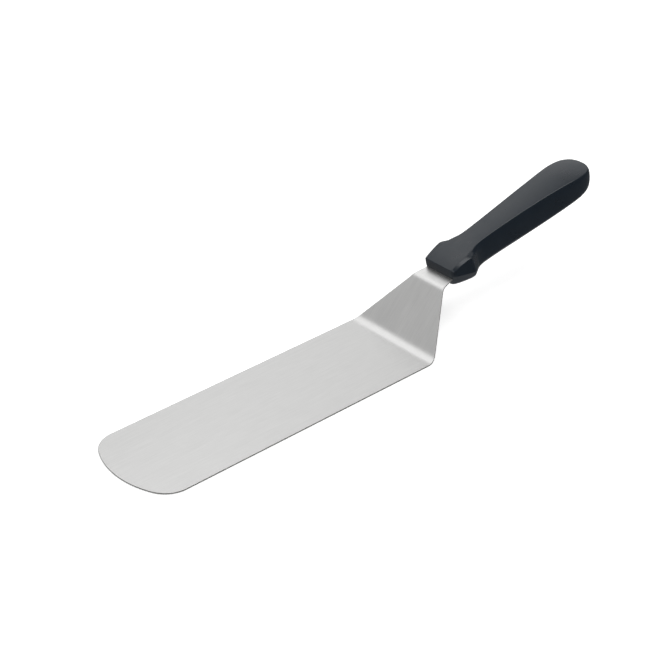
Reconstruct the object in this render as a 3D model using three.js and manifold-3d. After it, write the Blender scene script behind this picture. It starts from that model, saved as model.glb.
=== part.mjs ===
// Offset spatula: a bent stainless blade whose tang is moulded into a plastic handle.
// Millimetres, +Z up, +X from the blade's tip towards the handle, +Y across the blade.
// The blade's underside lies on z = 0 and the origin is under the middle of the whole spatula.

import * as THREE from 'three'
import { ParametricGeometry } from 'three/addons/geometries/ParametricGeometry.js'
import { mergeVertices } from 'three/addons/utils/BufferGeometryUtils.js'
import Module from 'manifold-3d'

const degrees = THREE.MathUtils.degToRad

// Flat blade
const sheet = 1
const bladeWidth = 76
const bladeLength = 230
const tipCrownRadius = 62
const tipCornerRadius = 19

// Riser and neck, their lengths measured between the sharp corners of the bends
const riserAngle = degrees(47.5)
const riserLength = 46
const tilt = degrees(12)
const bladeBendRadius = 10
const neckBendRadius = 5
const heelRound = 5
const shoulderWidth = 28
const shoulderRound = 3
const neckWidth = 24.4
const neckLength = 9

// Tang, measured along the handle from its front face
const tangTaperStart = 5
const tangTaperEnd = 20
const tangWidth = 12
const tangLength = 104
const tangEndRadius = 5
const tangHoleRadius = 2.8
const tangHoles = [44, 80]
const clearance = 0.3

// Handle outline at its widest level: distance from the front face, half width
const front = { at: 0, half: 13.7, round: 2.5 }
const guard = { at: 19.5, half: 16.6, round: 1.5 }
const knee = { at: 27.25, half: 11.7 }
const waist = { at: 35, half: 10.4 }
const butt = { at: 120, half: 15 }
const rearEnd = { at: 146, half: 0 }

// Control points of the outline's curves from the knee to the waist, on to the butt and round its end
const kneeToWaist = [knee, { at: 30.25, half: 10.4 }, waist]
const waistToButt = [{ at: 55, half: 10.4 }, { at: 94, half: 13.5 }, butt]
const buttToRear = [{ at: 134, half: 15.8 }, { at: 146, half: 14.5 }, rearEnd]

// Handle faces: distance from the front face, height of the face above the tang's middle
const topKnots = [
  [0, 6.4], [6, 8.4], [12, 9.5], [18, 9.9],
  [36, 10.2], [80, 10.8], [118, 10.3], [146, 8],
]
const bottomKnots = [
  [0, -4.5], [6, -6.2], [12, -7.4], [18, -8],
  [36, -7.6], [80, -8.1], [118, -7.4], [146, -5.6],
]
const widestHeight = 1.3
const edgeSize = 1.6
const wallDraft = 1
const topLean = [[0, 1.2], [19.5, -2], [34, 0]]
const bottomLean = [[0, 0.6], [19.5, 0.3], [34, 0]]
const crownRadius = 110
const crownStart = 14
const crownFull = 40

// Facets: points per curve, shares of the half width on a face, and angles round an edge
const curveSteps = 8
const bendSteps = 10
const faceShares = [0, 0.35, 0.7]
const edgeTurns = [0, 30, 60, 90].map(degrees)
const weld = 1e-4
const spare = 1

const wasm = await Module()
wasm.setup()

/** The closed solid that a geometry bounds, without its collapsed triangles. */
function solid(geometry) {
  const bare = geometry.clone()
  bare.deleteAttribute('normal')
  bare.deleteAttribute('uv')
  const merged = mergeVertices(bare, weld)
  const kept = []
  for (let i = 0; i < merged.index.count; i += 3) {
    const [a, b, c] = merged.index.array.slice(i, i + 3)
    if (a !== b && b !== c && c !== a) {
      kept.push(a, b, c)
    }
  }
  const vertProperties = merged.attributes.position.array
  return new wasm.Manifold(new wasm.Mesh({ numProp: 3, vertProperties, triVerts: new Uint32Array(kept) }))
}

/** A named mesh made from a solid. */
function piece(name, body, material) {
  const { vertProperties, triVerts } = body.getMesh()
  const geometry = new THREE.BufferGeometry()
  geometry.setAttribute('position', new THREE.BufferAttribute(vertProperties, 3))
  geometry.setIndex(new THREE.BufferAttribute(triVerts, 1))
  geometry.computeVertexNormals()
  const mesh = new THREE.Mesh(geometry, material)
  mesh.name = name
  return mesh
}

/** A closed shape from its half with y >= 0, both ends of the half being on the x axis. */
function mirrored(half) {
  const points = half.getPoints(curveSteps)
  const other = points.slice(1, -1).reverse().map((p) => new THREE.Vector2(p.x, -p.y))
  return new THREE.Shape(points.concat(other))
}

/** Adds a line to the path that stops short of a corner, and a curve round that corner. */
function roundedCorner(path, corner, next, size) {
  const back = path.currentPoint.clone().sub(corner).setLength(size).add(corner)
  const ahead = next.clone().sub(corner).setLength(size).add(corner)
  path.lineTo(back.x, back.y)
  path.quadraticCurveTo(corner.x, corner.y, ahead.x, ahead.y)
}

// Side view, x along and y up: the sharp corner at the shoulder, and the middle of the handle's front face
const along = new THREE.Vector2(Math.cos(tilt), Math.sin(tilt))
const normal = new THREE.Vector2(-Math.sin(tilt), Math.cos(tilt))
const shoulder = new THREE.Vector2(Math.cos(riserAngle), Math.sin(riserAngle))
  .multiplyScalar(riserLength)
  .add(new THREE.Vector2(0, sheet))
const entry = shoulder.clone().addScaledVector(along, neckLength).addScaledVector(normal, -sheet / 2)
const handleFrame = new THREE.Matrix4()
  .makeTranslation(entry.x, 0, entry.y)
  .multiply(new THREE.Matrix4().makeRotationY(-tilt))

/** Side view of the whole bent sheet, from the tip to the end of the tang. */
function sheetProfile() {
  const lower = new THREE.Vector2(-bladeBendRadius * Math.tan(riserAngle / 2), sheet + bladeBendRadius)
  const outside = neckBendRadius + sheet
  const lead = outside * Math.tan((riserAngle - tilt) / 2)
  const upper = new THREE.Vector2(
    shoulder.x + outside * Math.sin(riserAngle) - lead * Math.cos(riserAngle),
    shoulder.y - outside * Math.cos(riserAngle) - lead * Math.sin(riserAngle),
  )
  const down = -Math.PI / 2
  const up = Math.PI / 2
  const end = entry.clone().addScaledVector(along, tangLength)
  const profile = new THREE.Shape()
  profile.moveTo(-bladeLength, 0)
  profile.lineTo(lower.x, 0)
  profile.absarc(lower.x, lower.y, bladeBendRadius + sheet, down, down + riserAngle, false)
  profile.absarc(upper.x, upper.y, neckBendRadius, up + riserAngle, up + tilt, true)
  profile.lineTo(end.x - normal.x * sheet / 2, end.y - normal.y * sheet / 2)
  profile.lineTo(end.x + normal.x * sheet / 2, end.y + normal.y * sheet / 2)
  profile.absarc(upper.x, upper.y, outside, up + tilt, up + riserAngle, false)
  profile.absarc(lower.x, lower.y, bladeBendRadius, down + riserAngle, down, true)
  profile.lineTo(-bladeLength, sheet)
  profile.closePath()
  return profile
}

/** Plan view of the blade, riser and neck, seen from above. */
function bladeOutline() {
  const half = bladeWidth / 2
  const crownX = tipCrownRadius - bladeLength
  const cornerY = half - tipCornerRadius
  const reach = tipCrownRadius - tipCornerRadius
  const cornerX = crownX - Math.sqrt(reach ** 2 - cornerY ** 2)
  const turn = Math.PI - Math.asin(cornerY / reach)
  const heel = new THREE.Vector2(0, half)
  const taperEnd = new THREE.Vector2(shoulder.x, shoulderWidth / 2)
  const neckEnd = new THREE.Vector2(entry.x, neckWidth / 2)
  const path = new THREE.Path()
  path.moveTo(-bladeLength, 0)
  path.absarc(crownX, 0, tipCrownRadius, Math.PI, turn, true)
  path.absarc(cornerX, cornerY, tipCornerRadius, turn, Math.PI / 2, true)
  roundedCorner(path, heel, taperEnd, heelRound)
  roundedCorner(path, taperEnd, neckEnd, shoulderRound)
  path.lineTo(neckEnd.x, neckEnd.y)
  path.lineTo(neckEnd.x, 0)
  return mirrored(path)
}

/** Plan view of the tang in the handle's frame, grown by a margin. */
function tangOutline(margin) {
  const root = neckWidth / 2 + margin
  const half = tangWidth / 2 + margin
  const end = tangLength + margin
  const corner = new THREE.Vector2(end, half)
  const path = new THREE.Path()
  path.moveTo(-spare, 0)
  path.lineTo(-spare, root)
  path.lineTo(tangTaperStart, root)
  path.lineTo(tangTaperEnd, half)
  roundedCorner(path, corner, new THREE.Vector2(end, 0), tangEndRadius)
  path.lineTo(end, 0)
  const outline = mirrored(path)
  for (const x of tangHoles) {
    outline.holes.push(new THREE.Path().absarc(x, 0, tangHoleRadius - margin, 0, 2 * Math.PI))
  }
  return outline
}

/** A slab of the tang's outline in the handle's frame. */
function tangSlab(margin, thickness) {
  const geometry = new THREE.ExtrudeGeometry(tangOutline(margin), {
    depth: thickness,
    bevelEnabled: false,
    curveSegments: curveSteps,
  })
  return geometry.translate(0, 0, -thickness / 2)
}

/** Blade, riser, neck and tang: the bent sheet, cut to its outline. */
function bladeSolid() {
  const ribbon = new THREE.ExtrudeGeometry(sheetProfile(), {
    depth: bladeWidth + 2 * spare,
    bevelEnabled: false,
    curveSegments: bendSteps,
  })
  ribbon.rotateX(Math.PI / 2)
  ribbon.translate(0, bladeWidth / 2 + spare, 0)
  const plan = new THREE.ExtrudeGeometry(bladeOutline(), { depth: 2 * entry.y, bevelEnabled: false })
  plan.translate(0, 0, -entry.y / 2)
  const tang = tangSlab(0, 4 * sheet).applyMatrix4(handleFrame)
  return solid(ribbon).intersect(solid(plan).add(solid(tang)))
}

/** Handle outline at its widest level, from the middle of the front face to the end of the butt. */
function handleHalf() {
  const [frontCorner, guardCorner, kneeCorner] = [front, guard, knee].map(
    ({ at, half }) => new THREE.Vector2(at, half),
  )
  const path = new THREE.Path()
  path.moveTo(0, 0)
  roundedCorner(path, frontCorner, guardCorner, front.round)
  roundedCorner(path, guardCorner, kneeCorner, guard.round)
  for (const curve of [kneeToWaist, waistToButt, buttToRear]) {
    path.bezierCurveTo(...curve.flatMap(({ at, half }) => [at, half]))
  }
  return path
}

/** Value at x of the smooth curve through the knots. */
function through(knots, x) {
  const last = knots.length - 1
  const at = THREE.MathUtils.clamp(x, knots[0][0], knots[last][0])
  const i = Math.max(1, knots.findIndex(([end]) => end >= at))
  const slope = (j) => {
    const [x0, y0] = knots[Math.max(j - 1, 0)]
    const [x1, y1] = knots[Math.min(j + 1, last)]
    return (y1 - y0) / (x1 - x0)
  }
  const [x0, y0] = knots[i - 1]
  const [x1, y1] = knots[i]
  const run = x1 - x0
  const t = (at - x0) / run
  const ease = t * t * (3 - 2 * t)
  const bend = t * (1 - t) * ((1 - t) * slope(i - 1) - t * slope(i)) * run
  return y0 + ease * (y1 - y0) + bend
}

/** Levels of the handle's skin from its middle line on top, round the side, to the one below. */
function skinLevels() {
  const levels = []
  for (const share of faceShares) {
    levels.push({ share, inset: wallDraft + edgeSize, drop: 0, lean: 1 })
  }
  for (const angle of edgeTurns) {
    const inset = wallDraft + edgeSize * (1 - Math.sin(angle))
    levels.push({ share: 1, inset, drop: edgeSize * (1 - Math.cos(angle)), lean: 1 })
  }
  const below = levels.map((level) => ({ ...level, below: true })).reverse()
  return levels.concat({ share: 1, inset: 0, middle: true, lean: 0 }, below)
}

/** The outer skin of the handle. */
function handleSkin() {
  const outline = mirrored(handleHalf()).getPoints()
  const count = outline.length
  const levels = skinLevels()
  const inward = outline.map((point, i) => {
    const before = outline[(i + count - 1) % count]
    const after = outline[(i + 1) % count]
    const first = point.clone().sub(before).normalize()
    const second = after.clone().sub(point).normalize()
    const mean = first.clone().add(second).normalize()
    return new THREE.Vector2(mean.y, -mean.x).divideScalar(mean.dot(first))
  })
  const place = (u, v, target) => {
    const i = Math.round(u * count) % count
    const level = levels[Math.round(v * (levels.length - 1))]
    const point = outline[i].clone().addScaledVector(inward[i], level.inset)
    const side = level.below ? -1 : 1
    const x = point.x + level.lean * through(level.below ? bottomLean : topLean, point.x)
    const y = point.y * level.share
    const face = through(level.below ? bottomKnots : topKnots, x)
    const crowned = THREE.MathUtils.smoothstep(x, crownStart, crownFull) / (2 * crownRadius)
    const height = face + side * (crowned * (point.y ** 2 - y ** 2) - level.drop)
    target.set(x, y, level.middle ? widestHeight : height)
  }
  return new ParametricGeometry(place, count, levels.length - 1)
}

/** The handle in its own frame, with the slot that its tang fills. */
function handleSolid() {
  return solid(handleSkin()).subtract(solid(tangSlab(clearance, sheet + 2 * clearance)))
}

const steel = new THREE.MeshStandardMaterial({ color: 0xc9c9c8, roughness: 0.38, metalness: 1 })
const plastic = new THREE.MeshStandardMaterial({ color: 0x14171a, roughness: 0.4, metalness: 0 })

const spatula = new THREE.Group()
const handle = piece('handle', handleSolid(), plastic)
handle.applyMatrix4(handleFrame)
spatula.add(piece('blade', bladeSolid(), steel), handle)

// Centres the length on the origin
const extent = new THREE.Box3().setFromObject(spatula)
for (const mesh of spatula.children) {
  mesh.position.x -= (extent.min.x + extent.max.x) / 2
}

export default spatula
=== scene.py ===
"""Looks of the offset spatula: a brushed steel blade, its moulded handle, a pale floor and soft light.

Shapes are worked out in millimetres in the frame's axes, and their meshes are made in metres.
The floor and the lights are placed in metres.
"""

import math

import bmesh
import bpy
from mathutils import Matrix, Vector


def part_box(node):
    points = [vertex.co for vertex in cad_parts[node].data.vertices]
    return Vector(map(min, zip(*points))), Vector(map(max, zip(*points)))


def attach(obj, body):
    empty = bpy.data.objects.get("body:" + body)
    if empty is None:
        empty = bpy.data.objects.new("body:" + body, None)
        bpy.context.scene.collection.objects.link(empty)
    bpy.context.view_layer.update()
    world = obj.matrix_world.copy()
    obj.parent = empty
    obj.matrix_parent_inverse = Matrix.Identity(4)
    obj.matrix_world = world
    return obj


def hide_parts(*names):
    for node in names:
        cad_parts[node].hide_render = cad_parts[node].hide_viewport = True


MM = 0.001

# Bent sheet
SHEET = 1.0
BLADE_WIDTH = 76.0
BLADE_LENGTH = 230.0
TIP_CROWN_RADIUS = 62.0
TIP_CORNER_RADIUS = 19.0
RISER_ANGLE = math.radians(47.5)
RISER_LENGTH = 46.0
TILT = math.radians(12)
BLADE_BEND_RADIUS = 10.0
NECK_BEND_RADIUS = 5.0
HEEL_ROUND = 5.0
SHOULDER_WIDTH = 28.0
SHOULDER_ROUND = 3.0
NECK_WIDTH = 24.4
NECK_LENGTH = 9.0
TANG_TAPER = (5.0, 20.0)
TANG_WIDTH = 12.0
TANG_LENGTH = 104.0
TANG_END_RADIUS = 5.0
EDGE_EASE = 0.25

# Steps along the stretches of the sheet's outline, round its corners and round its two bends
TIP_STEPS = 18
BLADE_STEPS = 16
HEEL_STEPS = 14
RISER_STEPS = 16
NECK_STEPS = 8
TANG_STEPS = (2, 4, 8)
CORNER_STEPS = 6
BEND_STEPS = (20, 14)
# From this place to the bend the blade's steps are shorter
HEEL_START = -15.0
# A longer step of the sheet's middle line is a straight part
LONGEST_BEND_STEP = 5.0

# Rows across the sheet: shares of its half width on a face, the distance that they keep from the
# eased edge, and angles in degrees round that edge
SHEET_SHARES = (0.0, 0.25, 0.5, 0.75, 1.0)
SHEET_MARGIN = 0.5
EASE_TURNS = (0, 22.5, 45, 67.5, 90)

# A cut edge's faces lean at least this much to the side, or to the front when this far from the bend
SIDE_LEAN = 0.5
TIP_LEAN = 0.6
TIP_FROM_BEND = 150.0

# Least cosine of half a turn for which an inset follows the corner
MITRE_LIMIT = 0.5

# Metres below which vertices are one, and below which an edge has collapsed
MERGED = 2e-6
COLLAPSED = 1e-7

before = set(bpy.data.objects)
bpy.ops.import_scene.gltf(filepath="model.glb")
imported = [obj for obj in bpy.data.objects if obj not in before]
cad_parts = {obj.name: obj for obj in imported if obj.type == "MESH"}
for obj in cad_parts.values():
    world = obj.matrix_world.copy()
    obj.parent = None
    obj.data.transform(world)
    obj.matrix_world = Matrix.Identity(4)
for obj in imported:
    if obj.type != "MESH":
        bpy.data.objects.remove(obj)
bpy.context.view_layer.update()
BEND_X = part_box("blade")[0].x / MM + BLADE_LENGTH


# ---------------------------------------------------------------- curves

def quadratic(a, b, c, steps):
    """Points of a quadratic curve from a towards b to c, without its first point."""
    return [a.lerp(b, t).lerp(b.lerp(c, t), t) for t in (k / steps for k in range(1, steps + 1))]


def cubic(a, b, c, d, steps):
    """Points of a cubic curve from a to d, without its first point."""
    found = []
    for k in range(1, steps + 1):
        t = k / steps
        ab, bc, cd = a.lerp(b, t), b.lerp(c, t), c.lerp(d, t)
        found.append(ab.lerp(bc, t).lerp(bc.lerp(cd, t), t))
    return found


def arc(centre, radius, start, end, steps):
    """Points on a circle from one angle to another, both ends included."""
    angles = (start + (end - start) * k / steps for k in range(steps + 1))
    return [Vector((centre[0] + radius * math.cos(a), centre[1] + radius * math.sin(a))) for a in angles]


def line(a, b, steps):
    """Points on a line, without its first point."""
    return [a.lerp(b, k / steps) for k in range(1, steps + 1)]


def rounded(points, corner, after, size, line_steps):
    """Adds a line to points that stops short of a corner, and a curve round that corner."""
    last = points[-1]
    back = corner + (last - corner).normalized() * size
    ahead = corner + (after - corner).normalized() * size
    points += line(last, back, line_steps)
    points += quadratic(back, corner, ahead, CORNER_STEPS)


def through(knots, x):
    """Value at x of the smooth curve through the knots."""
    last = len(knots) - 1
    x = min(max(x, knots[0][0]), knots[last][0])
    i = next(j for j in range(1, last + 1) if knots[j][0] >= x)

    def slope(j):
        (x0, y0), (x1, y1) = knots[max(j - 1, 0)], knots[min(j + 1, last)]
        return (y1 - y0) / (x1 - x0)

    (x0, y0), (x1, y1) = knots[i - 1], knots[i]
    run = x1 - x0
    t = (x - x0) / run
    ease = t * t * (3 - 2 * t)
    bend = t * (1 - t) * ((1 - t) * slope(i - 1) - t * slope(i)) * run
    return y0 + ease * (y1 - y0) + bend


def smoothstep(x, low, high):
    """0 up to low, 1 from high, and a smooth rise between them."""
    t = min(max((x - low) / (high - low), 0.0), 1.0)
    return t * t * (3 - 2 * t)


# ---------------------------------------------------------------- side view of the sheet

RISE = Vector((math.cos(RISER_ANGLE), math.sin(RISER_ANGLE)))
ALONG = Vector((math.cos(TILT), math.sin(TILT)))
ACROSS = Vector((-math.sin(TILT), math.cos(TILT)))
SHOULDER = RISE * RISER_LENGTH + Vector((0, SHEET))
ENTRY = SHOULDER + ALONG * NECK_LENGTH - ACROSS * (SHEET / 2)


def middle_line():
    """The sheet's middle line from the side, and the length from the tip to each of its points."""
    lower = Vector((-BLADE_BEND_RADIUS * math.tan(RISER_ANGLE / 2), SHEET + BLADE_BEND_RADIUS))
    outside = NECK_BEND_RADIUS + SHEET
    lead = outside * math.tan((RISER_ANGLE - TILT) / 2)
    upper = SHOULDER + Vector((RISE.y, -RISE.x)) * outside - RISE * lead
    down = -math.pi / 2
    up = math.pi / 2
    half = SHEET / 2
    first = arc(lower, BLADE_BEND_RADIUS + half, down, down + RISER_ANGLE, BEND_STEPS[0])
    second = arc(upper, NECK_BEND_RADIUS + half, up + RISER_ANGLE, up + TILT, BEND_STEPS[1])
    end = ENTRY + ALONG * TANG_LENGTH
    points = [Vector((-BLADE_LENGTH, half))] + first + second + [end]
    lengths = [0.0]
    for a, b in zip(points, points[1:]):
        lengths.append(lengths[-1] + (b - a).length)
    return points, lengths


MIDDLE, LENGTHS = middle_line()


def straight_ends():
    """The two points of the straight part that each of its end points belongs to."""
    ends = {0: (MIDDLE[0], MIDDLE[1])}
    for i in range(1, len(MIDDLE)):
        if (MIDDLE[i] - MIDDLE[i - 1]).length > LONGEST_BEND_STEP:
            ends[i - 1] = ends[i] = (MIDDLE[i - 1], MIDDLE[i])
    return ends


STRAIGHT_ENDS = straight_ends()


def at_length(s):
    """Place and upward normal of the middle line at a length from the tip."""
    i = next((j for j in range(1, len(LENGTHS)) if LENGTHS[j] >= s), len(LENGTHS) - 1)
    a, b = MIDDLE[i - 1], MIDDLE[i]
    t = (s - LENGTHS[i - 1]) / (LENGTHS[i] - LENGTHS[i - 1])

    def normal(j):
        before, after = MIDDLE[max(j - 1, 0)], MIDDLE[min(j + 1, len(MIDDLE) - 1)]
        if j in STRAIGHT_ENDS:
            before, after = STRAIGHT_ENDS[j]
        d = (after - before).normalized()
        return Vector((-d.y, d.x))

    return a.lerp(b, t), normal(i - 1).lerp(normal(i), t).normalized()


def length_at(x):
    """Length from the tip to the point of the middle line over x."""
    last = len(MIDDLE) - 1
    i = next((j for j in range(1, last) if MIDDLE[j].x >= x), last)
    t = (x - MIDDLE[i - 1].x) / (MIDDLE[i].x - MIDDLE[i - 1].x)
    return LENGTHS[i - 1] + t * (LENGTHS[i] - LENGTHS[i - 1])


# ---------------------------------------------------------------- meshes

def outward(outline):
    """Outward normals of a half outline that starts and ends on the middle line."""
    found = []
    for i, point in enumerate(outline):
        before = outline[i - 1] if i else Vector((point.x, -outline[1].y))
        after = outline[i + 1] if i + 1 < len(outline) else Vector((point.x, -outline[i - 1].y))
        first = (point - before).normalized()
        second = (after - point).normalized()
        mean = (first + second).normalized()
        found.append(Vector((-mean.y, mean.x)) / max(mean.dot(first), MITRE_LIMIT))
    return found


def quads(rows, columns, closed_rows, closed_columns):
    """Faces of a grid of vertices, which joins its last row or column to its first when closed."""
    faces = []
    for i in range(rows if closed_rows else rows - 1):
        n = (i + 1) % rows
        for j in range(columns if closed_columns else columns - 1):
            k = (j + 1) % columns
            faces.append((i * columns + j, i * columns + k, n * columns + k, n * columns + j))
    return faces


def mesh_object(name, vertices, faces, material):
    """A smooth object from vertices in millimetres, with coincident ones merged."""
    mesh = bpy.data.meshes.new(name)
    mesh.from_pydata([v * MM for v in vertices], [], faces)
    made = bpy.data.objects.new(name, mesh)
    bpy.context.scene.collection.objects.link(made)
    work = bmesh.new()
    work.from_mesh(mesh)
    bmesh.ops.remove_doubles(work, verts=work.verts, dist=MERGED)
    bmesh.ops.dissolve_degenerate(work, edges=work.edges, dist=COLLAPSED)
    bmesh.ops.recalc_face_normals(work, faces=work.faces)
    for face in work.faces:
        face.smooth = True
    work.to_mesh(mesh)
    work.free()
    mesh.materials.append(material)
    return made


# ---------------------------------------------------------------- blade

def sheet_outline():
    """Half of the flattened sheet's outline, from the tip to the tang's end: length, half width."""
    half = BLADE_WIDTH / 2
    crown_x = TIP_CROWN_RADIUS - BLADE_LENGTH
    corner_y = half - TIP_CORNER_RADIUS
    reach = TIP_CROWN_RADIUS - TIP_CORNER_RADIUS
    corner_x = crown_x - math.sqrt(reach**2 - corner_y**2)
    turn = math.pi - math.asin(corner_y / reach)
    plan = arc((crown_x, 0), TIP_CROWN_RADIUS, math.pi, turn, TIP_STEPS)
    plan += arc((corner_x, corner_y), TIP_CORNER_RADIUS, turn, math.pi / 2, TIP_STEPS)[1:]
    heel = Vector((0, half))
    taper_end = Vector((SHOULDER.x, SHOULDER_WIDTH / 2))
    neck_end = Vector((ENTRY.x, NECK_WIDTH / 2))
    plan += line(plan[-1], Vector((HEEL_START, half)), BLADE_STEPS)
    rounded(plan, heel, taper_end, HEEL_ROUND, HEEL_STEPS)
    rounded(plan, taper_end, neck_end, SHOULDER_ROUND, RISER_STEPS)
    plan += line(plan[-1], neck_end, NECK_STEPS)
    flat = [Vector((length_at(p.x), p.y)) for p in plan]
    start, root = flat[-1]
    taper_start = Vector((start + TANG_TAPER[0], root))
    taper_end = Vector((start + TANG_TAPER[1], TANG_WIDTH / 2))
    corner = Vector((LENGTHS[-1], TANG_WIDTH / 2))
    end = Vector((LENGTHS[-1], 0))
    flat += line(flat[-1], taper_start, TANG_STEPS[0])
    flat += line(flat[-1], taper_end, TANG_STEPS[1])
    rounded(flat, corner, end, TANG_END_RADIUS, TANG_STEPS[2])
    flat.append(end)
    return flat


def sheet_rows():
    """Rows across the top of the sheet's half section: share of the width, inset, height."""
    ease = EDGE_EASE
    rows = [(share, ease + SHEET_MARGIN, SHEET / 2) for share in SHEET_SHARES]
    for turn in EASE_TURNS:
        angle = math.radians(turn)
        rows.append((1.0, ease * (1 - math.sin(angle)), SHEET / 2 - ease * (1 - math.cos(angle))))
    return rows


def on_cut_edge(face):
    """Whether a face of the blade lies on the sheet's cut edge."""
    at_tip = face.center.x < (BEND_X - TIP_FROM_BEND) * MM
    return abs(face.normal.y) > SIDE_LEAN or (face.normal.x < -TIP_LEAN and at_tip)


def make_blade(material, edge_material):
    """Blade, riser, neck and tang: one bent sheet with eased edges."""
    outline = sheet_outline()
    rows = sheet_rows()
    # Each row with its side of the middle line, and with the sheet's upper or lower face
    ring = [(row, 1, 1) for row in rows]
    ring += [(row, 1, -1) for row in reversed(rows)]
    ring += [(row, -1, -1) for row in rows[1:]]
    ring += [(row, -1, 1) for row in reversed(rows[1:])]
    vertices = []
    for point, normal in zip(outline, outward(outline)):
        for (share, inset, height), side, face in ring:
            y = (point.y - normal.y * inset) * share
            place, up = at_length(point.x - normal.x * inset)
            place = place + up * (height * face)
            vertices.append(Vector((BEND_X + place.x, side * y, place.y)))
    faces = quads(len(outline), len(ring), closed_rows=False, closed_columns=True)
    made = mesh_object("spatula_blade", vertices, faces, material)
    made.data.materials.append(edge_material)
    # Faces of the cut edge get the darker steel, whose darkness is painted shade
    for face in made.data.polygons:
        if on_cut_edge(face):
            face.material_index = 1
    return made


# ---------------------------------------------------------------- handle

# Curves of the widest outline from the knee to the waist, on to the butt and round its end
KNEE = Vector((27.25, 11.7))
KNEE_CURVE = ((30.25, 10.4), (35.0, 10.4))
GRIP_CURVES = (
    ((55.0, 10.4), (94.0, 13.5), (120.0, 15.0)),
    ((134.0, 15.8), (146.0, 14.5), (146.0, 0.0)),
)
# Knots along the handle: heights of the top, the underside and the side crease, and the chamfer's drop
TOP = ((0, 6.5), (6, 8.6), (12, 9.7), (18, 10.2), (36, 10.85), (80, 11.45), (118, 10.65), (146, 7.6))
BOTTOM = ((0, -4.5), (6, -6.2), (12, -7.4), (18, -8), (36, -8.0), (80, -8.5), (118, -7.8), (146, -5.7))
CREASE = ((0, 3.4), (19.5, -2.4), (30, -3.0), (45, -3.6), (112, -3.4), (146, 1.2))
DROP = ((0, 1.4), (4, 1.4), (18.5, 0.9), (27, 2.6), (40, 5.5), (105, 5.5), (130, 3.2), (146, 1.6))
# The grip's top and underside are crowned, from none at the first place to all at the second
CROWN_RADIUS = 110.0
CROWN = (14.0, 40.0)
# Outlines: insets along the grip, then the bolster's front and guard corners
WIDEST = (((27, -0.25), (120, -0.25), (146, 0.1)), (1.5, 13.8), (19.5, 16.6))
TOP_OUTER = (((27, 0.6), (105, 0.5), (130, 0.3), (146, 0.1)), (1.6, 13.7), (18.7, 15.0))
TOP_INNER = (((27, 2.1), (100, 2.1), (130, 1.3), (146, 0.7)), (1.9, 12.1), (17.0, 11.6))
LOW_OUTER = (((27, 0.3), (125, 0.3), (146, 1.3)), (1.6, 12.7), (19.7, 15.6))
LOW_INNER = (((27, 1.9), (125, 1.9), (146, 2.6)), (2.0, 11.0), (18.6, 13.9))
# Height of the lower chamfer, and sizes of the rounds at the outlines' corners
LOW_EDGE = 1.6
FRONT_ROUND = 2.0
GUARD_ROUND = 1.3
# The front face is within this many first points of an outline: its chamfer's drop, its normals' lean
FRONT_POINTS = 20
FRONT_DROP = 0.4
FRONT_LEAN = (0.3, 0.95)
# Edges are crisp up to the first place and soft from the second: size when crisp, and what softness adds
SOFTENING = (21.0, 32.0)
CUTS = ((0.28, 0.3), (0.28, 2.2), (0.22, 3.8), (0.58, 0.9), (0.58, 0.9))
# A round takes at most this share of the side that it shortens
LONGEST_CUT = 0.46
# Shares of the half width for rows on the top and the underside, and for the last one before the edge
FACE_SHARES = (0.0, 0.2, 0.4, 0.6, 0.75)
EDGE_SHARE = 0.86
# Steps along the outline and round the edges of its section
FRONT_STEPS = 6
GUARD_STEPS = 10
KNEE_STEPS = 5
WAIST_STEPS = 8
GRIP_STEPS = 28
EDGE_STEPS = 4


def handle_outline(insets, front, guard):
    """Half outline of the handle at one level, from the middle of its front to the end of its butt."""
    front, guard = Vector(front), Vector(guard)
    side = [KNEE]
    side += cubic(KNEE, KNEE, Vector(KNEE_CURVE[0]), Vector(KNEE_CURVE[1]), WAIST_STEPS)
    for curve in GRIP_CURVES:
        b, c, d = [Vector(point) for point in curve]
        side += cubic(side[-1], b, c, d, GRIP_STEPS)
    grip = []
    for i, point in enumerate(side):
        before = side[max(i - 1, 0)]
        after = side[i + 1] if i + 1 < len(side) else Vector((point.x, -side[i - 1].y))
        ahead = (after - before).normalized()
        grip.append(point + Vector((ahead.y, -ahead.x)) * through(insets, point.x))
    grip[-1].y = 0.0
    points = [Vector((front.x, 0.0))]
    rounded(points, front, guard, FRONT_ROUND, FRONT_STEPS)
    rounded(points, guard, grip[0], GUARD_ROUND, GUARD_STEPS)
    points += line(points[-1], grip[0], KNEE_STEPS)
    return points + grip[1:]


def rounded_profile(corners, cuts):
    """The corners of an open profile with each inner corner rounded by a curve."""
    found = [corners[0]]
    for a, b, c, cut in zip(corners, corners[1:], corners[2:], cuts):
        back = min(cut, LONGEST_CUT * (a - b).length)
        ahead = min(cut, LONGEST_CUT * (c - b).length)
        start = b + (a - b).normalized() * back
        end = b + (c - b).normalized() * ahead
        found.append(start)
        found += quadratic(start, b, end, EDGE_STEPS)
    found.append(corners[-1])
    return found


def on_face(edge, height, crown, share):
    """A point of the top or underside, at a share of the way from the middle line to an edge."""
    return Vector((edge.x, edge.y * share, height + crown * edge.y**2 * (1 - share**2)))


def handle_section(levels, frontal):
    """Half section of the skin through one point of each outline, from its top to its underside."""
    top_in, _, wide, _, low_in = levels
    drop = through(DROP, wide.x) * (1 - frontal) + FRONT_DROP * frontal
    soft = smoothstep(wide.x, *SOFTENING)
    crown = smoothstep(wide.x, *CROWN) / (2 * CROWN_RADIUS)
    top = through(TOP, top_in.x)
    low = through(BOTTOM, low_in.x)
    heights = (top, top - drop, through(CREASE, wide.x), low + LOW_EDGE, low)
    corners = [Vector((point.x, point.y, height)) for point, height in zip(levels, heights)]
    corners.insert(0, on_face(top_in, top, crown, EDGE_SHARE))
    corners.append(on_face(low_in, low, -crown, EDGE_SHARE))
    upper = [on_face(top_in, top, crown, share) for share in FACE_SHARES]
    lower = [on_face(low_in, low, -crown, share) for share in reversed(FACE_SHARES)]
    return upper + rounded_profile(corners, [crisp + more * soft for crisp, more in CUTS]) + lower


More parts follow.
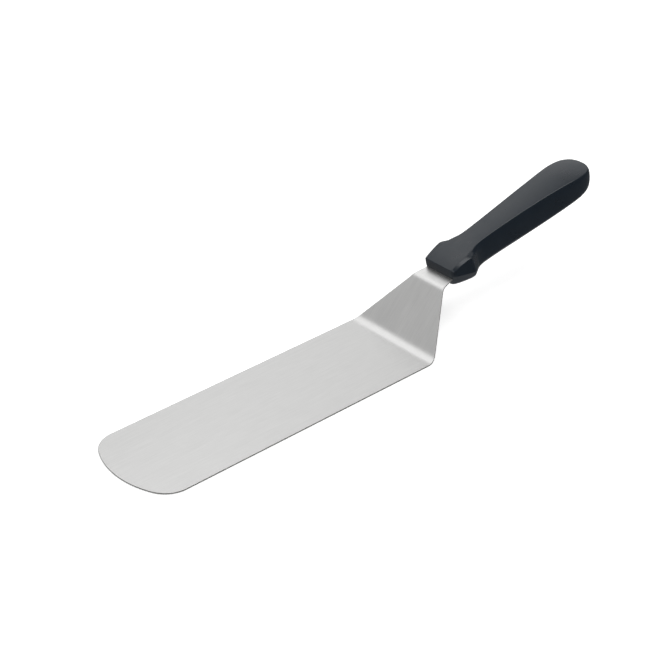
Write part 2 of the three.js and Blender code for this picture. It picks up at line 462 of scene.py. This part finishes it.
def make_handle(material):
    """The handle's skin: bolster with flat chamfers, guard, waist and rounded grip."""
    outlines = [handle_outline(*o) for o in (TOP_INNER, TOP_OUTER, WIDEST, LOW_OUTER, LOW_INNER)]
    normals = outward(outlines[2])
    sections = []
    for i, levels in enumerate(zip(*outlines)):
        facing = max(0.0, -normals[i].normalized().x) if i < FRONT_POINTS else 0.0
        sections.append(handle_section(levels, smoothstep(facing, *FRONT_LEAN)))
    other_half = [[Vector((v.x, -v.y, v.z)) for v in half] for half in reversed(sections[1:-1])]
    loop = sections + other_half
    turn = Matrix(((ALONG.x, 0, ACROSS.x), (0, 1, 0), (ALONG.y, 0, ACROSS.y)))
    origin = Vector((BEND_X + ENTRY.x, 0, ENTRY.y))
    vertices = [origin + turn @ v for half in loop for v in half]
    faces = quads(len(loop), len(sections[0]), closed_rows=True, closed_columns=False)
    return mesh_object("spatula_handle", vertices, faces, material)


# ---------------------------------------------------------------- nodes of materials

# Noise between these values covers the whole of a range that it drives
NOISE_RANGE = (0.3, 0.7)
NOISE_ROUGHNESS = 0.55


def new_material(name):
    """A material, its node tree, its shader and the object coordinates."""
    made = bpy.data.materials.new(name)
    made.use_nodes = True
    tree = made.node_tree
    place = node(tree, "ShaderNodeTexCoord").outputs["Object"]
    return made, tree, tree.nodes["Principled BSDF"], place


def node(tree, kind, **properties):
    """A node with its properties set by name."""
    made = tree.nodes.new(kind)
    for key, value in properties.items():
        setattr(made, key, value)
    return made


def grain(tree, place, fineness, scale, detail):
    """Noise that is finer along an axis where its fineness is larger."""
    mapping = node(tree, "ShaderNodeMapping")
    mapping.inputs["Scale"].default_value = fineness
    tree.links.new(place, mapping.inputs["Vector"])
    noise = node(tree, "ShaderNodeTexNoise")
    noise.inputs["Scale"].default_value = scale
    noise.inputs["Detail"].default_value = detail
    noise.inputs["Roughness"].default_value = NOISE_ROUGHNESS
    tree.links.new(mapping.outputs["Vector"], noise.inputs["Vector"])
    return noise.outputs["Fac"]


def remapped(tree, value, before, after, shape="LINEAR"):
    """A value whose range before becomes the range after."""
    made = node(tree, "ShaderNodeMapRange", interpolation_type=shape)
    for name, number in zip(("From Min", "From Max", "To Min", "To Max"), (*before, *after)):
        made.inputs[name].default_value = number
    tree.links.new(value, made.inputs["Value"])
    return made.outputs["Result"]


def spread(tree, noise, low, high):
    """Noise spread from low to high."""
    return remapped(tree, noise, NOISE_RANGE, (low, high))


def combined(tree, a, b, operation="ADD"):
    """Two values, each a number or a node's output, made into one."""
    made = node(tree, "ShaderNodeMath", operation=operation)
    for socket, value in zip(made.inputs, (a, b)):
        if isinstance(value, (int, float)):
            socket.default_value = value
        else:
            tree.links.new(value, socket)
    return made.outputs[0]


def tinted(tree, value, tint):
    """A colour that is tint times a value."""
    made = node(tree, "ShaderNodeVectorMath", operation="SCALE")
    made.inputs[0].default_value = tint
    tree.links.new(value, made.inputs["Scale"])
    return made.outputs["Vector"]


def add_bump(tree, shader, height, strength, distance):
    """Small relief on a shader's surface, with its distance in metres."""
    bump = node(tree, "ShaderNodeBump")
    bump.inputs["Strength"].default_value = strength
    bump.inputs["Distance"].default_value = distance
    tree.links.new(height, bump.inputs["Height"])
    tree.links.new(bump.outputs["Normal"], shader.inputs["Normal"])


# ---------------------------------------------------------------- materials

STEEL_TONE = 0.53
STEEL_TINT = (1.0, 0.998, 0.99)
STEEL_ROUGHNESS = (0.35, 0.41)
# The cut edge's steel tone, darker than the blade's as painted shade along the edge
EDGE_SHADED_TONE = 0.42
EDGE_TINT = (1.0, 0.99, 0.97)
EDGE_ROUGHNESS = (0.45, 0.6)
PLASTIC_COLOUR = (0.0035, 0.0085, 0.015)
PLASTIC_ROUGHNESS = (0.27, 0.33)
PLASTIC_IOR = 1.42
FLOOR_TONE = 0.86
# The floor's glow falls from the first strength to the second between these distances from its middle
FLOOR_GLOW = (0.4, 0.2)
FLOOR_GLOW_REACH = (0.7, 2.2)


def brushed_steel():
    """Satin steel with its grain along the blade."""
    made, tree, shader, place = new_material("brushed_steel")
    fine = grain(tree, place, fineness=(14, 800, 14), scale=3.0, detail=3.0)
    medium = grain(tree, place, fineness=(10, 200, 10), scale=3.0, detail=2.0)
    cloud = grain(tree, place, fineness=(1, 1.8, 1), scale=60.0, detail=3.0)
    tone = combined(tree, spread(tree, fine, -0.02, 0.02), spread(tree, medium, -0.014, 0.014))
    tone = combined(tree, tone, spread(tree, cloud, -0.01, 0.01))
    tone = combined(tree, tone, STEEL_TONE)
    rough = combined(tree, spread(tree, medium, *STEEL_ROUGHNESS), spread(tree, cloud, -0.02, 0.02))
    tree.links.new(tinted(tree, tone, STEEL_TINT), shader.inputs["Base Color"])
    tree.links.new(rough, shader.inputs["Roughness"])
    shader.inputs["Metallic"].default_value = 1.0
    add_bump(tree, shader, fine, strength=0.05, distance=0.0001)
    return made


def sheared_and_shaded_steel():
    """The sheet's cut edge: rougher steel with fine marks across it, darker in tone as painted shade
    along the edge.
    """
    made, tree, shader, place = new_material("sheared_and_shaded_steel")
    marks = grain(tree, place, fineness=(1, 1, 0.2), scale=1500.0, detail=2.0)
    # The darker base tone of the edge is painted shade; the marks are the cut's own texture
    tone = combined(tree, spread(tree, marks, -0.06, 0.06), EDGE_SHADED_TONE)
    tree.links.new(tinted(tree, tone, EDGE_TINT), shader.inputs["Base Color"])
    tree.links.new(spread(tree, marks, *EDGE_ROUGHNESS), shader.inputs["Roughness"])
    shader.inputs["Metallic"].default_value = 1.0
    return made


def moulded_plastic():
    """Blue-black polypropylene with a fine moulded grain and a soft gloss."""
    made, tree, shader, place = new_material("moulded_plastic")
    pebble = grain(tree, place, fineness=(1, 1, 1), scale=1400.0, detail=2.0)
    swirl = grain(tree, place, fineness=(1, 1, 1), scale=60.0, detail=3.0)
    rub = grain(tree, place, fineness=(0.5, 2, 1), scale=240.0, detail=4.0)
    tone = combined(tree, spread(tree, swirl, -0.08, 0.08), 1.0)
    rough = combined(tree, spread(tree, swirl, *PLASTIC_ROUGHNESS), spread(tree, rub, -0.02, 0.03))
    tree.links.new(tinted(tree, tone, PLASTIC_COLOUR), shader.inputs["Base Color"])
    tree.links.new(rough, shader.inputs["Roughness"])
    shader.inputs["IOR"].default_value = PLASTIC_IOR
    add_bump(tree, shader, pebble, strength=0.12, distance=0.00005)
    return made


def pale_floor():
    """A matt white floor that glows a little, so that almost no shadow shows on it."""
    made, tree, shader, place = new_material("pale_floor")
    paper = grain(tree, place, fineness=(1, 1, 1), scale=400.0, detail=2.0)
    tone = combined(tree, spread(tree, paper, -0.005, 0.005), FLOOR_TONE)
    tree.links.new(tinted(tree, tone, (1, 1, 1)), shader.inputs["Base Color"])
    shader.inputs["Roughness"].default_value = 1.0
    shader.inputs["Specular IOR Level"].default_value = 0.0
    reach = node(tree, "ShaderNodeVectorMath", operation="LENGTH")
    tree.links.new(place, reach.inputs[0])
    glow = remapped(tree, reach.outputs["Value"], FLOOR_GLOW_REACH, FLOOR_GLOW, "SMOOTHSTEP")
    shader.inputs["Emission Color"].default_value = (1, 1, 1, 1)
    tree.links.new(glow, shader.inputs["Emission Strength"])
    return made


# ---------------------------------------------------------------- pieces

def finish_shading(made):
    """Keeps flat faces flat next to their small rounded edges."""
    weighted = made.modifiers.new("flat_faces", "WEIGHTED_NORMAL")
    weighted.mode = "FACE_AREA"
    weighted.weight = 50
    weighted.keep_sharp = True


blade = make_blade(brushed_steel(), sheared_and_shaded_steel())
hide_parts("blade")
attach(blade, "root")

handle = make_handle(moulded_plastic())
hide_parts("handle")
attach(handle, "root")

for piece in (blade, handle):
    finish_shading(piece)


# ---------------------------------------------------------------- floor, lights, sky

FLOOR_HALF = 9.0
FLOOR_HEIGHT = -0.0002

# Name, place, target, width, height, radiance
SOFTBOXES = (
    ("overhead", (0.6, -0.35, 2.1), (0.05, 0.0, 0.0), 1.1, 1.6, 3.8),
    ("kicker", (0.62, -1.15, 1.75), (0.1, 0.0, 0.05), 0.9, 0.9, 3.6),
    ("back", (0.08, 1.6, 2.1), (0.05, 0.0, 0.05), 2.5, 1.0, 1.38),
    ("rear", (2.1, 1.85, 1.4), (0.0, 0.0, 0.05), 1.6, 1.6, 0.68),
)

# The sky brightens towards one side, and again straight down, where glossy surfaces see past the floor
SKY_SIDE = (-0.35, 0.75, 0.55)
SKY_RISE = (-0.1, 0.8)
SKY_STRENGTH = (0.18, 0.68)
BELOW_RISE = (-0.5, -0.95)
BELOW_STRENGTH = (0.0, 1.0)


def make_floor():
    """A wide floor just under the blade."""
    size = FLOOR_HALF
    corners = [(-size, -size, 0), (size, -size, 0), (size, size, 0), (-size, size, 0)]
    mesh = bpy.data.meshes.new("floor")
    mesh.from_pydata(corners, [], [(0, 1, 2, 3)])
    mesh.materials.append(pale_floor())
    made = bpy.data.objects.new("floor", mesh)
    made.location.z = FLOOR_HEIGHT
    bpy.context.scene.collection.objects.link(made)
    return made


def softbox(name, place, target, width, height, radiance):
    """A rectangular light that faces a target. Its power gives the same radiance at any size."""
    light = bpy.data.lights.new(name, "AREA")
    light.shape = "RECTANGLE"
    light.size = width
    light.size_y = height
    light.energy = radiance * math.pi * width * height
    made = bpy.data.objects.new(name, light)
    made.location = place
    aim = Vector(target) - Vector(place)
    made.rotation_mode = "QUATERNION"
    made.rotation_quaternion = aim.to_track_quat("-Z", "Y")
    bpy.context.scene.collection.objects.link(made)


def make_sky():
    """A soft studio surround."""
    world = bpy.data.worlds.new("studio")
    world.use_nodes = True
    bpy.context.scene.world = world
    tree = world.node_tree
    backdrop = tree.nodes["Background"]
    backdrop.inputs["Strength"].default_value = 1.0
    direction = node(tree, "ShaderNodeTexCoord").outputs["Generated"]
    towards = node(tree, "ShaderNodeVectorMath", operation="DOT_PRODUCT")
    tree.links.new(direction, towards.inputs[0])
    towards.inputs[1].default_value = SKY_SIDE
    above = remapped(tree, towards.outputs["Value"], SKY_RISE, SKY_STRENGTH, "SMOOTHSTEP")
    parts = node(tree, "ShaderNodeSeparateXYZ")
    tree.links.new(direction, parts.inputs[0])
    below = remapped(tree, parts.outputs["Z"], BELOW_RISE, BELOW_STRENGTH, "SMOOTHSTEP")
    tree.links.new(combined(tree, above, below, "MAXIMUM"), backdrop.inputs["Color"])


floor = make_floor()
# Glossy surfaces don't see the floor, which keeps the handle's side dark
floor.visible_glossy = False
for settings in SOFTBOXES:
    softbox(*settings)
make_sky()


# ---------------------------------------------------------------- camera

LENS = 101.09
SENSOR = 36.0
CLIP = (0.01, 50.0)
AZIMUTH = math.radians(-41.816)
ELEVATION = math.radians(31.604)
TARGET = Vector((BEND_X - 31.03, 35.91, 9.67))
DISTANCE = 1222.6


def make_camera():
    """The camera, turned from the -Y side by its azimuth and raised by its elevation."""
    data = bpy.data.cameras.new("camera")
    data.lens = LENS
    data.sensor_width = SENSOR
    data.clip_start, data.clip_end = CLIP
    level = math.cos(ELEVATION)
    back = Vector((math.sin(AZIMUTH) * level, -math.cos(AZIMUTH) * level, math.sin(ELEVATION)))
    made = bpy.data.objects.new("camera", data)
    made.location = (TARGET + back * DISTANCE) * MM
    made.rotation_mode = "QUATERNION"
    made.rotation_quaternion = (-back).to_track_quat("-Z", "Y")
    bpy.context.scene.collection.objects.link(made)
    return made


bpy.context.scene.camera = make_camera()
bpy.context.scene.view_settings.view_transform = "Standard"
bpy.context.scene.view_settings.look = "None"
